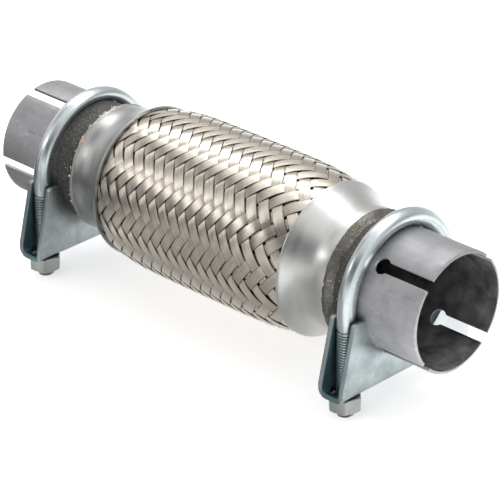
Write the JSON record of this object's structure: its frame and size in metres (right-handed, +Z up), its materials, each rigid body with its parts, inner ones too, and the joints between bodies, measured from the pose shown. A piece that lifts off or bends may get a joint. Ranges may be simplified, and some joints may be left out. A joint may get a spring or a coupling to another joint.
{
  "type": "exhaust flex pipe",
  "caption": "Braided exhaust flex coupling with bell end caps, slotted pipe sleeves and a U-bolt clamp with stamped saddle on each sleeve.",
  "frame": {"origin": "middle of the coupling's length, on the floor plane through the clamp bolts' ends, under the pipe axis", "axes": "+X along the pipe, towards the sleeve that is near in the picture; +Z up, away from the clamp nuts"},
  "size_m": [0.2506, 0.08, 0.0863],
  "materials": {
    "sleeve_steel": "drawn tube, satin, faint lengthwise lines",
    "cap_steel": "stamped stainless sheet, polished",
    "weld_metal": "dull weld metal with heat tint",
    "braid_wire": "flat ribbons of fine stainless wire, warm sheen",
    "inner_steel": "thin stainless strip, dull",
    "zinc_bolt": "bright zinc plating, bluish",
    "zinc_sheet": "zinc plating, mottled, bluish",
    "zinc_nut": "zinc plating, satin, slightly warm"
  },
  "bodies": {
    "root": {"sleeve_left": "sleeve_steel", "sleeve_right": "sleeve_steel", "end_cap_left": "cap_steel", "end_cap_right": "cap_steel", "weld_bead_left": "weld_metal", "weld_bead_right": "weld_metal", "outer_braid": "braid_wire", "bellows": "inner_steel", "inner_liner": "inner_steel", "inner_ring_left": "inner_steel", "inner_ring_right": "inner_steel", "ubolt_left": "zinc_bolt", "ubolt_right": "zinc_bolt", "saddle_left": "zinc_sheet", "saddle_right": "zinc_sheet", "nut_left_near": "zinc_nut", "nut_left_far": "zinc_nut", "nut_right_near": "zinc_nut", "nut_right_far": "zinc_nut"}
  },
  "joints": []
}
